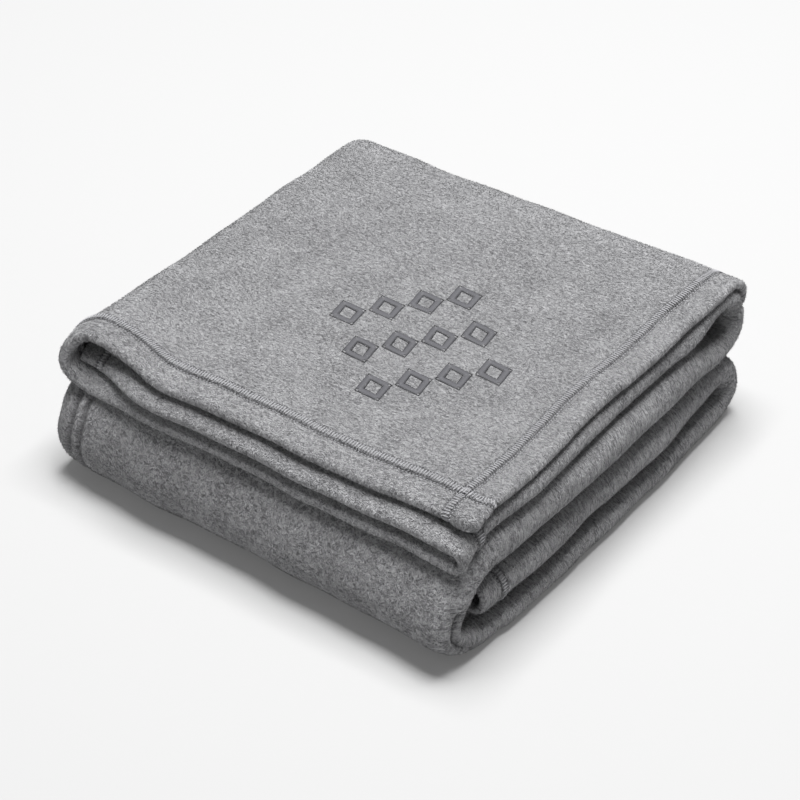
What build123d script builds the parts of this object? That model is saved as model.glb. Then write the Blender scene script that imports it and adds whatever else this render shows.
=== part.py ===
from build123d import *
import os

# A throw blanket of plush fleece, folded into a block. The cloth is folded in three across X, like
# a letter, and the long strip that this gives is folded in four along Y. Millimetres. The origin is
# on the floor under the middle of the block, +Z is up and the block's longer side runs along X.
#
# One length of the folded strip is a leg. From the top down the legs are the top leg, the second
# leg, the tail leg, which is the strip's far end tucked in, and the bottom leg. Each leg holds three
# thicknesses of cloth: the flap, the tucked layer and the under layer. The flap and the under layer
# meet in the left fold, and the under layer and the tucked layer meet in the right fold.

# The folded block
block_length = 456.0  # along X, left folds to right folds
block_depth = 443.0  # along Y, front hems to back folds
bottom_leg_height = 28.0
tail_leg_height = 40.0
second_leg_height = 44.0
top_leg_height = 32.0
opening_gap = 0.3  # clear space between two legs that open apart
hinge_clearance = 0.5  # from a fold's outermost fibre to the line that it opens about

# Folds that turn one leg into the next
back_fold_reach = 38.0  # along Y, from the flat legs to the outermost fibre
tail_fold_reach = 30.0
front_roll_reach = 50.0
front_roll_inset = 5.0  # the front hems hang this far in front of the roll

# Hems and sewing
hem_width = 32.0
flap_set_back = 14.0  # from the right folds to the flap's hemmed edge
under_hem_drop = 86.0  # height of each front hem's lower edge above the floor
tucked_hem_drop = 103.0
flap_hem_drop = 126.0
thread_width = 1.2
thread_height = 0.6
row_inset = 23.5  # from the hem's edge to the outer row of stitches
row_spacing = 8.0  # between the two rows of stitches
front_row_offsets = (-25.0, -32.0)  # along Y, from the roll's centre to the front hem's rows

# Embroidered motif, three rows of four open lozenges, turned to face the front right corner
motif_centre = (37.0, -28.0)
motif_turn = 48.0
lozenge_width = 33.0
lozenge_height = 38.0
lozenge_stroke = 7.0
lozenge_pitch = (35.0, 56.0)
motif_columns = 4
motif_rows = 3
motif_height = 0.8

left_x = -block_length / 2
right_x = block_length / 2
front_y = -block_depth / 2
back_y = block_depth / 2
flap_edge_x = right_x - flap_set_back
roll_front_y = front_y + front_roll_inset
roll_centre_y = roll_front_y + front_roll_reach
back_centre_y = back_y - back_fold_reach
tail_centre_y = back_y - tail_fold_reach

# Heights at which the legs part
tail_floor_z = bottom_leg_height
front_parting_z = tail_floor_z + tail_leg_height
back_parting_z = front_parting_z + second_leg_height
block_top = back_parting_z + top_leg_height
half_gap = opening_gap / 2

# Each leg: its floor, its roof, whether its flap is its uppermost layer, and where its back fold begins
legs = {
    "bottom": (0.0, tail_floor_z, True, tail_centre_y),
    "tail": (tail_floor_z, front_parting_z - half_gap, False, tail_centre_y),
    "second": (front_parting_z + half_gap, back_parting_z - half_gap, False, back_centre_y),
    "top": (back_parting_z + half_gap, block_top, True, back_centre_y),
}

os.makedirs("parts", exist_ok=True)


def save(part, name):
    part.label = name
    export_step(part, f"parts/{name}.step")


def layer_faces(leg_name, layer):
    """The lower and upper face of one of a leg's three layers; layer 0 is the lowest."""
    floor, roof, flap_up, back = legs[leg_name]
    thickness = (roof - floor) / 3
    return floor + layer * thickness, floor + (layer + 1) * thickness


# The flat layers and the side folds of the four legs
for leg_name, (floor, roof, flap_up, back) in legs.items():
    span_y = back - roll_centre_y
    middle_y = (back + roll_centre_y) / 2
    left_reach = (roof - floor) / 2
    right_reach = (roof - floor) / 3
    flap_layer = 2 if flap_up else 0
    under_layer = 0 if flap_up else 2

    for layer_name, layer in (("flap", flap_layer), ("tucked_layer", 1), ("under_layer", under_layer)):
        low_z, high_z = layer_faces(leg_name, layer)
        layer_end_x = flap_edge_x if layer_name == "flap" else right_x - right_reach
        if (leg_name, layer_name) == ("top", "flap"):
            layer_end_x -= hem_width
        layer_length = layer_end_x - (left_x + left_reach)
        with BuildPart() as flat_layer:
            with BuildSketch(Plane.XY.offset(low_z)):
                with Locations((layer_end_x - layer_length / 2, middle_y)):
                    Rectangle(layer_length, span_y)
            extrude(amount=high_z - low_z)
        save(flat_layer.part, f"{leg_name}_{layer_name}")

    with BuildPart() as left_fold:
        with BuildSketch(Plane.XZ.offset(-back)):
            with Locations((left_x + left_reach, floor + left_reach)):
                Circle(left_reach)
            with Locations((left_x, floor)):
                Rectangle(left_reach, 2 * left_reach, align=Align.MIN, mode=Mode.INTERSECT)
        extrude(amount=span_y)
    save(left_fold.part, f"{leg_name}_left_fold")

    fold_floor = floor if flap_up else floor + right_reach
    with BuildPart() as right_fold:
        with BuildSketch(Plane.XZ.offset(-back)):
            with Locations((right_x - right_reach, fold_floor + right_reach)):
                Circle(right_reach)
            with Locations((right_x - right_reach, fold_floor)):
                Rectangle(right_reach, 2 * right_reach, align=Align.MIN, mode=Mode.INTERSECT)
        extrude(amount=span_y)
    save(right_fold.part, f"{leg_name}_right_fold")

# The fold that turns the top leg into the second leg, parted where the two legs open
back_halves = {
    "back_fold_upper": (back_parting_z + half_gap, block_top, top_leg_height),
    "back_fold_lower": (front_parting_z + half_gap, back_parting_z - half_gap, second_leg_height),
}
for fold_name, (low_z, high_z, fold_height) in back_halves.items():
    with BuildPart() as back_fold:
        with BuildSketch(Plane.YZ.offset(left_x)):
            with Locations((back_centre_y, back_parting_z)):
                Ellipse(back_fold_reach, fold_height)
            with Locations((back_centre_y, low_z)):
                Rectangle(back_fold_reach, high_z - low_z, align=Align.MIN, mode=Mode.INTERSECT)
        extrude(amount=block_length)
    save(back_fold.part, fold_name)

# The fold that turns the bottom leg into the tail leg
tail_roof_z = front_parting_z - half_gap
with BuildPart() as tail_fold:
    with BuildSketch(Plane.YZ.offset(left_x)):
        with Locations((tail_centre_y, tail_roof_z / 2)):
            Ellipse(tail_fold_reach, tail_roof_z / 2)
        with Locations((tail_centre_y, 0)):
            Rectangle(tail_fold_reach, tail_roof_z, align=Align.MIN, mode=Mode.INTERSECT)
    extrude(amount=block_length)
save(tail_fold.part, "tail_fold")

# The strip's hemmed far end, inside the front roll
nose_radius = (tail_roof_z - tail_floor_z) / 2
nose_centre = (roll_centre_y, tail_floor_z + nose_radius)
with BuildPart() as tail_end_hem:
    with BuildSketch(Plane.YZ.offset(left_x)):
        with Locations(nose_centre):
            Circle(nose_radius)
        with Locations((roll_centre_y - nose_radius, tail_floor_z)):
            Rectangle(nose_radius, 2 * nose_radius, align=Align.MIN, mode=Mode.INTERSECT)
    extrude(amount=block_length)
save(tail_end_hem.part, "tail_end_hem")

# The roll that turns the second leg into the bottom leg, parted where the second leg opens
roll_half_height = back_parting_z / 2
with BuildPart() as front_roll_lower:
    with BuildSketch(Plane.YZ.offset(left_x)):
        with Locations((roll_centre_y, roll_half_height)):
            Ellipse(front_roll_reach, roll_half_height)
        with Locations((roll_front_y, 0)):
            Rectangle(front_roll_reach, tail_roof_z, align=Align.MIN, mode=Mode.INTERSECT)
        with Locations(nose_centre):
            Circle(nose_radius, mode=Mode.SUBTRACT)
    extrude(amount=block_length)
save(front_roll_lower.part, "front_roll_lower")

second_floor_z = front_parting_z + half_gap
second_roof_z = back_parting_z - half_gap
with BuildPart() as front_roll_upper:
    with BuildSketch(Plane.YZ.offset(left_x)):
        with Locations((roll_centre_y, roll_half_height)):
            Ellipse(front_roll_reach, roll_half_height)
        with Locations((roll_front_y, second_floor_z)):
            Rectangle(front_roll_reach, second_roof_z - second_floor_z, align=Align.MIN, mode=Mode.INTERSECT)
    extrude(amount=block_length)
save(front_roll_upper.part, "front_roll_upper")

# The top leg's three front hems hang over the roll's shoulder, each outside the one below it
layer_thickness = (block_top - back_parting_z - half_gap) / 3
shoulder_reach = front_roll_reach + opening_gap
shoulder_height = roll_half_height + half_gap
plain_end_x = right_x - right_reach
flap_plain_end_x = flap_edge_x - hem_width
front_hems = {
    "under_front_hem": (0, under_hem_drop, left_x, plain_end_x),
    "tucked_front_hem": (1, tucked_hem_drop, left_x, plain_end_x),
    "flap_front_hem": (2, flap_hem_drop, left_x, flap_plain_end_x),
    "corner_tab": (2, flap_hem_drop, flap_plain_end_x, flap_edge_x),
}
for hem_name, (layer, lower_edge_z, begin_x, end_x) in front_hems.items():
    inner_rise = layer * layer_thickness
    outer_rise = inner_rise + layer_thickness
    with BuildPart() as front_hem:
        with BuildSketch(Plane.YZ.offset(begin_x)):
            with Locations((roll_centre_y, roll_half_height)):
                Ellipse(shoulder_reach + outer_rise, shoulder_height + outer_rise)
                Ellipse(shoulder_reach + inner_rise, shoulder_height + inner_rise, mode=Mode.SUBTRACT)
            with Locations((front_y, lower_edge_z)):
                strip_height = block_top - lower_edge_z
                Rectangle(roll_centre_y - front_y, strip_height, align=Align.MIN, mode=Mode.INTERSECT)
        extrude(amount=end_x - begin_x)
    save(front_hem.part, hem_name)

# The flap's side hem, with its outer edges rounded
flap_floor_z, flap_roof_z = layer_faces("top", 2)
with BuildPart() as side_hem:
    with BuildSketch(Plane.XY.offset(flap_floor_z)):
        with Locations((flap_edge_x - hem_width / 2, (roll_centre_y + back_centre_y) / 2)):
            Rectangle(hem_width, back_centre_y - roll_centre_y)
    extrude(amount=flap_roof_z - flap_floor_z)
    outer_edges = side_hem.edges().filter_by(Axis.Y).group_by(Axis.X)[-1]
    fillet(outer_edges, radius=layer_thickness / 3)
save(side_hem.part, "flap_side_hem")

# Two rows of sewing thread lie along each hem that shows
bar_inset = 2 * thread_width
side_row_begin_y = roll_centre_y + 2 * bar_inset
side_row_length = back_centre_y - side_row_begin_y
row_middle_x = flap_edge_x - row_inset - row_spacing / 2
with BuildPart() as side_stitching:
    with BuildSketch(Plane.XY.offset(block_top)):
        with Locations((row_middle_x, side_row_begin_y + side_row_length / 2)):
            with GridLocations(row_spacing, 1, 2, 1):
                Rectangle(thread_width, side_row_length)
    extrude(amount=thread_height)
save(side_stitching.part, "side_hem_stitching")

flap_reach = shoulder_reach + 3 * layer_thickness
flap_height = shoulder_height + 3 * layer_thickness
front_row_places = [(roll_centre_y + offset_y, block_top) for offset_y in front_row_offsets]
with BuildPart() as front_stitching:
    with BuildSketch(Plane.YZ.offset(left_x + top_leg_height / 2)):
        with Locations((roll_centre_y, roll_half_height)):
            Ellipse(flap_reach + thread_height, flap_height + thread_height)
            Ellipse(flap_reach, flap_height, mode=Mode.SUBTRACT)
        with BuildSketch(mode=Mode.INTERSECT):
            with Locations(*front_row_places):
                Rectangle(thread_width, top_leg_height)
    extrude(amount=flap_plain_end_x - left_x - top_leg_height / 2)
save(front_stitching.part, "front_hem_stitching")

# The corner overlap is held by a short bar of thread along its inner edge
with BuildPart() as corner_stitching:
    with BuildSketch(Plane.XY.offset(block_top)):
        with Locations((flap_edge_x - hem_width / 2, roll_centre_y + bar_inset)):
            Rectangle(hem_width, 2 * thread_width)
    extrude(amount=thread_height)
save(corner_stitching.part, "corner_stitching")

# The motif's satin stitch lies on the flap
half_width = lozenge_width / 2
half_height = lozenge_height / 2
lozenge_inradius = half_width * half_height / (half_width**2 + half_height**2) ** 0.5
lozenge_opening = 1 - lozenge_stroke / lozenge_inradius


def lozenge_corners(share):
    """The corners of a lozenge of this share of the full size."""
    x = share * half_width
    y = share * half_height
    return (x, 0), (0, y), (-x, 0), (0, -y)


with BuildPart() as motif:
    with BuildSketch(Plane.XY.offset(block_top)):
        with Locations(Location(motif_centre, motif_turn)):
            with GridLocations(*lozenge_pitch, motif_columns, motif_rows):
                Polygon(*lozenge_corners(1))
                Polygon(*lozenge_corners(lozenge_opening), mode=Mode.SUBTRACT)
    extrude(amount=motif_height)
save(motif.part, "motif_embroidery")

back_hinge_y = back_y + hinge_clearance
skin_share = (1 - (front_parting_z / roll_half_height - 1) ** 2) ** 0.5
front_hinge_y = roll_centre_y - front_roll_reach * skin_share - hinge_clearance
print(f"the back fold opens about y {back_hinge_y:.2f}, z {back_parting_z:.2f}")
print(f"the front roll opens about y {front_hinge_y:.2f}, z {front_parting_z:.2f}")
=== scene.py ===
# %% [markdown]
# # A folded fleece throw
# The throw is one big rectangle of plush fleece with a sewn hem on all four edges. It is folded in
# three across its width, like a letter, and the long strip that this gives is folded in four. We
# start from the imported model, because every visible piece has to sit where its solids sit.

# %% Load the fixed frame
import math

import bpy
import numpy as np
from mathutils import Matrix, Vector


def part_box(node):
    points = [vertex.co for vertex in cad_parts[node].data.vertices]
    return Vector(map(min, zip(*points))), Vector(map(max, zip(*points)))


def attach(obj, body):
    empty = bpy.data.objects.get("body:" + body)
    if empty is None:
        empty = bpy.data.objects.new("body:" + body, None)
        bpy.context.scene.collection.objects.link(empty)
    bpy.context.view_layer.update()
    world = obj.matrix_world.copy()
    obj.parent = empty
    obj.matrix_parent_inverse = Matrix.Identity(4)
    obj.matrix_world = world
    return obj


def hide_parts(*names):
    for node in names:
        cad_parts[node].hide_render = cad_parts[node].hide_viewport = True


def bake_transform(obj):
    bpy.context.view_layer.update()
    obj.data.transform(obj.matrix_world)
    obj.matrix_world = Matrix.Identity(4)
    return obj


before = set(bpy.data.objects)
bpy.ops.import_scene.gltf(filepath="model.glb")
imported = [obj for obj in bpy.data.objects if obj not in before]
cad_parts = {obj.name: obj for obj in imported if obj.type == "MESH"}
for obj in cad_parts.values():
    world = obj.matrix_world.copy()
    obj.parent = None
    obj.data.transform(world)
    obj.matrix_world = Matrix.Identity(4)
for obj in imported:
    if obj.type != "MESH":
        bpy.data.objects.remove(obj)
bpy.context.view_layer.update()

# %% [markdown]
# ## The camera
# A long lens from well above keeps the block's edges nearly parallel, as in a catalogue picture.
# We look down at the front right corner, so that two sides and the top all show.

# %% Set the camera
CAMERA_AZIMUTH = math.radians(36.09)
CAMERA_ELEVATION = math.radians(36.82)
CAMERA_DISTANCE = 2.905
CAMERA_TARGET = Vector((-0.0407, 0.0495, 0.0))
CAMERA_LENS = 142.2

away = Vector((
    math.sin(CAMERA_AZIMUTH) * math.cos(CAMERA_ELEVATION),
    -math.cos(CAMERA_AZIMUTH) * math.cos(CAMERA_ELEVATION),
    math.sin(CAMERA_ELEVATION),
))
camera_data = bpy.data.cameras.new("product_camera")
camera_data.lens = CAMERA_LENS
camera_data.sensor_width = 36.0
camera = bpy.data.objects.new("product_camera", camera_data)
camera.location = CAMERA_TARGET + CAMERA_DISTANCE * away
camera.rotation_euler = away.to_track_quat("Z", "Y").to_euler()
bpy.context.scene.collection.objects.link(camera)
bpy.context.scene.camera = camera
print("camera at", [round(value, 2) for value in camera.location])

# %% [markdown]
# ## Where the folds are
# We think in millimetres while we shape the cloth, because its sizes are small numbers then. Each
# height and fold centre is read from the solids that stand for the cloth, so nothing is measured
# twice.

# %% Read the block's levels and fold centres
MM = 0.001


def corner(node, end, axis):
    """One coordinate of a node's box in millimetres: end 0 is its lowest corner, 1 its highest."""
    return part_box(node)[end]["xyz".index(axis)] / MM


LEFT_X = corner("back_fold_upper", 0, "x")
RIGHT_X = corner("back_fold_upper", 1, "x")
BACK_CENTRE_Y = corner("back_fold_upper", 0, "y")
BACK_REACH = corner("back_fold_upper", 1, "y") - BACK_CENTRE_Y
TAIL_CENTRE_Y = corner("tail_fold", 0, "y")
TAIL_REACH = corner("tail_fold", 1, "y") - TAIL_CENTRE_Y
ROLL_CENTRE_Y = corner("front_roll_lower", 1, "y")
ROLL_REACH = ROLL_CENTRE_Y - corner("front_roll_lower", 0, "y")
TAIL_FLOOR = corner("tail_flap", 0, "z")
FRONT_PARTING = (corner("second_flap", 0, "z") + corner("tail_under_layer", 1, "z")) / 2
BACK_PARTING = (corner("top_under_layer", 0, "z") + corner("second_under_layer", 1, "z")) / 2
BLOCK_TOP = corner("top_flap", 1, "z")
print("legs part at", TAIL_FLOOR, FRONT_PARTING, BACK_PARTING, "and the top is at", BLOCK_TOP)

# %% [markdown]
# ## The cloth as one mapped sheet
# A real folded throw never passes through itself, because it is one sheet that was folded twice.
# We use the same idea. Every point of the sheet has two addresses: how far across the width it is,
# and how far along the length. The first fold turns the width into a place from left to right and
# a depth inside the leg. The second fold turns the length and that depth into a place from front
# to back and a height. Simulating twelve thick layers would take hours and drift; a mapping gives
# a clean shell at once, and small smooth warps then take away its stiffness.

# %% Thicknesses and heights of the layers
HALF_CLOTH = 4.3  # half the thickness of the plush, pile and all
HALF_HEM = 5.8  # the hem is turned over, so it is thicker
LAYER_GAP = 1.0  # from a parting to the first cloth beside it
HEM_ROWS = (23.5, 31.5)  # the two rows of stitches, from the hem's edge

# For each leg the height of the flap's middle and of the under layer's middle
LEG_LEVELS = (
    (BLOCK_TOP - HALF_CLOTH, BACK_PARTING + LAYER_GAP + HALF_CLOTH),
    (FRONT_PARTING + LAYER_GAP + HALF_CLOTH, BACK_PARTING - LAYER_GAP - HALF_CLOTH),
    (TAIL_FLOOR - LAYER_GAP - HALF_CLOTH, HALF_CLOTH + 0.1),
    (TAIL_FLOOR + LAYER_GAP + HALF_CLOTH, FRONT_PARTING - LAYER_GAP - HALF_CLOTH),
)
TOP, SECOND, BOTTOM, TAIL = range(4)


def smooth(value, begin, end):
    """0 before begin, 1 after end, and a smooth rise between them."""
    share = np.clip((value - begin) / (end - begin), 0, 1)
    return share * share * (3 - 2 * share)


LEFT_DIP = 12.0  # the loose loop at the front left presses the legs under it down
BACK_HOLLOW = 7.5  # the cloth stands off itself inside the fold
RIGHT_PUFF = 4.0  # the stack is springier towards its back right corner


def leg_height(leg, depth, x, y):
    """The height of a layer's middle. depth is 0 at the flap and 1 at the under layer."""
    flap_z, under_z = LEG_LEVELS[leg]
    dip = LEFT_DIP * smooth(-x, 120, 215) * (1 - smooth(y, 40, 150))
    near_back = smooth(y, BACK_CENTRE_Y - 55, BACK_CENTRE_Y)
    near_tail_fold = smooth(y, TAIL_CENTRE_Y - 45, TAIL_CENTRE_Y)
    if leg == TOP:
        puff = RIGHT_PUFF * smooth(x, -60, 200) * smooth(y, 20, BACK_CENTRE_Y)
        flap_z = flap_z + 1.5 * near_back + puff + 0.2 * dip
        under_z = under_z + BACK_HOLLOW * near_back + puff * near_back - dip
    elif leg == SECOND:
        under_z = under_z - 1.9 * BACK_HOLLOW * near_back - dip
    elif leg == TAIL:
        flap_z = flap_z + BACK_HOLLOW * near_tail_fold
    return flap_z + (under_z - flap_z) * depth


print("flap and under layer of each leg:", [tuple(round(z, 1) for z in leg) for leg in LEG_LEVELS])


# %% [markdown]
# The front roll bulges more towards the right, and the top leg's hems hang over its shoulder.

# %% The roll, its bulge and the shoulder that the hems hang over
SHOULDER_BULGE = 15.0
BELLY_SAG = 11.0  # the roll's own weight pushes its lower half out
LAYER_PACKING = 10.0  # from one layer's middle to the next where they go round a fold
roll_middle = BACK_PARTING / 2


def bulge(x):
    return SHOULDER_BULGE * smooth(x, LEFT_X, RIGHT_X + 60)


def belly(x, z):
    """How much further out the roll's lower half reaches; both ends of the roll are rounded."""
    sag = BELLY_SAG + 4 * smooth(x, 60, 190) - 5 * smooth(-x, 90, 215)
    rounded = 7 * smooth(x, 190, 228) ** 2 + 5 * smooth(-x, 195, 228)
    return sag * (1 - smooth(z, 26, 84)) - rounded


def roll_reach(depth, x):
    """How far in front of the roll's centre line a layer's middle passes."""
    return ROLL_REACH - HALF_CLOTH + bulge(x) - 2 * LAYER_PACKING * (1 - depth)


def shoulder_angle(depth, x):
    """How far round the shoulder each layer of the top leg hangs, in radians."""
    under, tucked, flap = 49.0, 39.0, 25.5
    flap_lift = 2 * smooth(x, 90, 190) + 9 * smooth(-x, 110, 190)
    inner = np.interp(depth, (0, 0.5, 1), (flap, tucked, under))
    return np.radians(inner - flap_lift * (1 - depth) ** 2)


def top_leg_path(distance, depth, x):
    """(y, z) at a distance from the front hem's edge, over the shoulder and back along the leg."""
    reach = ROLL_REACH + bulge(x) + leg_height(TOP, depth, x, ROLL_CENTRE_Y) - BACK_PARTING
    rise = leg_height(TOP, depth, x, ROLL_CENTRE_Y) - roll_middle
    angle_end = shoulder_angle(depth, x)
    radius = (reach + rise) / 2
    arc = radius * angle_end
    angle = np.clip(angle_end - distance / radius, 0, None)
    along = np.clip(distance - arc, 0, None)
    y = ROLL_CENTRE_Y - reach * np.sin(angle) + along
    on_shoulder = roll_middle + rise * np.cos(angle)
    return y, np.where(along > 0, leg_height(TOP, depth, x, y), on_shoulder)


def top_leg_length(depth, x):
    reach = ROLL_REACH + bulge(x) + leg_height(TOP, depth, x, ROLL_CENTRE_Y) - BACK_PARTING
    rise = leg_height(TOP, depth, x, ROLL_CENTRE_Y) - roll_middle
    return (reach + rise) / 2 * shoulder_angle(depth, x) + BACK_CENTRE_Y - ROLL_CENTRE_Y


# %% [markdown]
# Each fold is half an ellipse for every layer, a little squarer at the back, where the plush is
# springy. Where the top leg and the second leg can open, extra rows of points lie very close
# together, so that the cloth bends over the fold smoothly.

# %% The half turns of the strip
OPENING_BAND = 0.7  # the extra rows lie this far above and below a parting


def turn_angle(gap, up, down, powers):
    """The angle at which a fold stands this far above (or below) its middle."""
    share = np.clip(np.abs(gap) / np.where(gap > 0, up, down), 0, 1)
    return np.sign(gap) * np.arcsin(share ** (1 / np.where(gap > 0, *powers)))


def half_turn(share, depth, x, centre_y, reach, leg_before, leg_after, parting=None, powers=(1, 1)):
    """(y, z) on a fold: share runs from 0 at the leg before to 1 at the leg after.

    powers shape the first and the second half: 1 is an ellipse, less is squarer.
    """
    before = leg_height(leg_before, depth, x, centre_y)
    after = leg_height(leg_after, depth, x, centre_y)
    middle = BACK_PARTING if parting == BACK_PARTING else (before + after) / 2
    up, down = np.abs(before - middle), np.abs(middle - after)
    rising = np.sign(before - after)
    begin, end = math.pi / 2, -math.pi / 2
    if parting is None:
        angle = begin + (end - begin) * share
    else:
        top = turn_angle(parting + OPENING_BAND - middle, up, down, powers)
        low = turn_angle(parting - OPENING_BAND - middle, up, down, powers)
        stops = (begin, top, low, end)
        third = min(int(share * 3), 2)
        inside = share * 3 - third
        angle = stops[third] + (stops[third + 1] - stops[third]) * inside
    sine, cosine = np.sin(angle), np.clip(np.cos(angle), 0, 1)
    power = np.where(sine > 0, *powers)
    z = middle + rising * np.sign(sine) * np.where(sine > 0, up, down) * np.abs(sine) ** power
    return centre_y + reach * cosine ** power, z


# %% [markdown]
# The width needs the same care: the flap's edge steps back from the right folds and runs a little
# askew, the right folds are fuller in the lower legs, and the tucked layer ends inside the loop of
# the left fold.

# %% Lines that run along the strip, for each row of points
def side_lines(stage, y):
    """The flap's edge, the left and right fold centres and reaches for rows at this stage."""
    upper = 1 - smooth(stage, 1.0, 2.0)
    flap_edge = np.where(
        stage <= 1,
        217 - 4 * smooth(y, -150, 0) + 3 * smooth(y, 60, 190),
        np.where(stage < 2, 216 - 12 * (stage - 1), 204 - 14 * smooth(stage, 2, 2.4)),
    )
    round_roll = smooth(stage, 2.6, 3.2) * (1 - smooth(stage, 3.8, 4.4))
    flap_edge = flap_edge + 14 * round_roll + 10 * smooth(stage, 6.4, 7.0)
    tip = (
        225.5 - 7 * smooth(y, 60, 200) - 5 * smooth(-y, 120, 205)
        + upper * (-4 - 6 * smooth(y, -150, 40) + 8 * smooth(y, 70, 170))
        - 2 * smooth(y, -150, 0) * smooth(stage, 3.8, 4.4)
    )
    right_reach = 12.5 * (1 - upper) + 6.5 * upper
    left_tip = -226.0 - 3 * smooth(-y, 60, 200) + 9 * smooth(y, 60, 210)
    left_tip = left_tip + upper * (1.0 + 6.0 * smooth(y, -170, 0) - 2 * smooth(y, 120, 200))
    left_reach = 13 + 13 * upper * smooth(-y, -60, 160)
    fold_depth = 0.12 + 0.38 * upper
    return flap_edge, tip, right_reach, left_tip, left_reach, fold_depth


# %% [markdown]
# Points gather where the shape turns quickly: round the hem's edge, at the rows of stitches and
# round the folds. On the flat stretches they can be further apart.

# %% Stations across the width and along the length
def hem_stations():
    edge = HALF_HEM * (1 - np.cos(np.linspace(0, math.pi / 2, 6)))
    rows = [row + step for row in HEM_ROWS for step in (-2.2, -0.9, 0.0, 0.9, 2.2)]
    return np.unique(np.concatenate([edge, (8.5, 12.0, 16.0, 19.0, 27.5), rows, (36.5, 40.0)]))


hem_marks = hem_stations()
HEM_ZONE = hem_marks[-1]
flap_marks = np.linspace(0, 1, 112)[1:]
left_turn = np.linspace(0, 1, 17)[1:]
press_marks = (0.006, 0.010, 0.0137, 0.0175, 0.0215, 0.026, 0.0295, 0.033, 0.0365, 0.041, 0.0455,
               0.05, 0.055)
under_marks = np.unique(np.concatenate([np.linspace(0, 1, 50)[1:], press_marks]))
right_turn = np.linspace(0, 1, 23)[1:]
tucked_marks = np.linspace(0, 1, 50)[1:-1]

across_zone = np.concatenate([
    np.full(len(marks), zone)
    for zone, marks in enumerate((hem_marks, flap_marks, left_turn, under_marks, right_turn,
                                  tucked_marks, hem_marks))
])
across_value = np.concatenate([
    hem_marks, flap_marks, left_turn, under_marks, right_turn, tucked_marks, hem_marks[::-1],
])
across_count = len(across_zone)
print(across_count, "stations across the width")


def across(stage, y):
    """x and depth of every station across the width, for one row of the strip."""
    flap_edge, tip, right_reach, left_tip, left_reach, fold_depth = side_lines(stage, y)
    left_centre = left_tip + HALF_CLOTH + left_reach
    right_centre = tip - HALF_CLOTH - right_reach
    tucked_end = left_tip + 2.9 * HALF_CLOTH
    x = np.zeros(across_count)
    depth = np.zeros(across_count)
    value = across_value

    here = across_zone == 0
    x[here] = flap_edge - value[here]
    here = across_zone == 1
    hem_end = flap_edge - HEM_ZONE
    x[here] = hem_end + (left_centre - hem_end) * value[here]
    here = across_zone == 2
    angle = math.pi / 2 - math.pi * value[here]
    x[here] = left_centre - left_reach * np.cos(angle)
    depth[here] = 0.5 - 0.5 * np.sin(angle)
    here = across_zone == 3
    x[here] = left_centre + (right_centre - left_centre) * value[here]
    depth[here] = 1
    here = across_zone == 4
    angle = -math.pi / 2 + math.pi * value[here]
    x[here] = right_centre + right_reach * np.cos(angle)
    depth[here] = (1 + fold_depth) / 2 - (1 - fold_depth) / 2 * np.sin(angle)
    here = across_zone == 5
    x[here] = right_centre + (tucked_end + HEM_ZONE - right_centre) * value[here]
    here = across_zone == 6
    x[here] = tucked_end + value[here]
    here = across_zone >= 5
    back_to_middle = smooth(right_centre - x[here], 0, 60)
    depth[here] = fold_depth + (0.5 - fold_depth) * back_to_middle
    return x, depth


# %% [markdown]
# ## Laying the rows
# We walk along the strip from the front hem's edge to the tail's edge: over the shoulder and back
# along the top leg, round the back fold, forward, round the roll, back, round the tail fold and
# forward again. Each row remembers its stage, a number that says where on this walk it lies.

# %% Lay out every row of the strip
CUT_BACK_Y = 140.0  # the top leg's rigid stretch ends here
rows_x, rows_y, rows_z, rows_stage = [], [], [], []


def add_row(stage, y_guess, place):
    x, depth = across(stage, y_guess)
    y, z = place(depth, x)
    rows_x.append(x)
    rows_y.append(y)
    rows_z.append(z)
    rows_stage.append(stage)


def top_row(share, distance=None):
    def place(depth, x):
        if distance is not None:
            return top_leg_path(np.full(across_count, distance), depth, x)
        beyond_hem = (top_leg_length(depth, x) - HEM_ZONE) * share
        return top_leg_path(HEM_ZONE + beyond_hem, depth, x)

    add_row(share, ROLL_CENTRE_Y - 30 + (BACK_CENTRE_Y - ROLL_CENTRE_Y + 30) * share, place)


def leg_row(leg, stage, y):
    add_row(stage, y, lambda depth, x: (np.full(across_count, y), leg_height(leg, depth, x, y)))


for distance in hem_marks:
    top_row(0.0, distance)
top_shares = np.linspace(0, 1, 106)
for share in top_shares[1:]:
    top_row(share)
cut_top = len(hem_marks) + int(np.argmin(abs(
    ROLL_CENTRE_Y + (BACK_CENTRE_Y - ROLL_CENTRE_Y) * top_shares[1:] - CUT_BACK_Y)))

third = np.linspace(0, 1 / 3, 16)[1:]
band = np.linspace(1 / 3, 2 / 3, 17)[1:]
turn_shares = np.concatenate([third, band, third + 2 / 3])
BACK_CAVITY_REACH = 17.0
BACK_POWERS = (0.78, 0.8)
ROLL_POWERS = (1.0, 0.82)


def back_turn(share):
    def place(depth, x):
        reach_out = BACK_REACH - HALF_CLOTH + 4.5 + 6.5 * smooth(x, -200, 210)
        reach_in = BACK_CAVITY_REACH + 6 * smooth(x, 0, 210)
        reach = reach_out - (reach_out - reach_in) * depth
        return half_turn(
            share, depth, x, BACK_CENTRE_Y, reach, TOP, SECOND, BACK_PARTING, BACK_POWERS)

    add_row(1 + share, BACK_CENTRE_Y, place)


for share in turn_shares:
    back_turn(share)

second_shares = np.linspace(0, 1, 60)[1:]
for share in second_shares:
    leg_row(SECOND, 2 + share, BACK_CENTRE_Y + (ROLL_CENTRE_Y - BACK_CENTRE_Y) * share)
cut_second = len(rows_x) - len(second_shares) // 2

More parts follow.
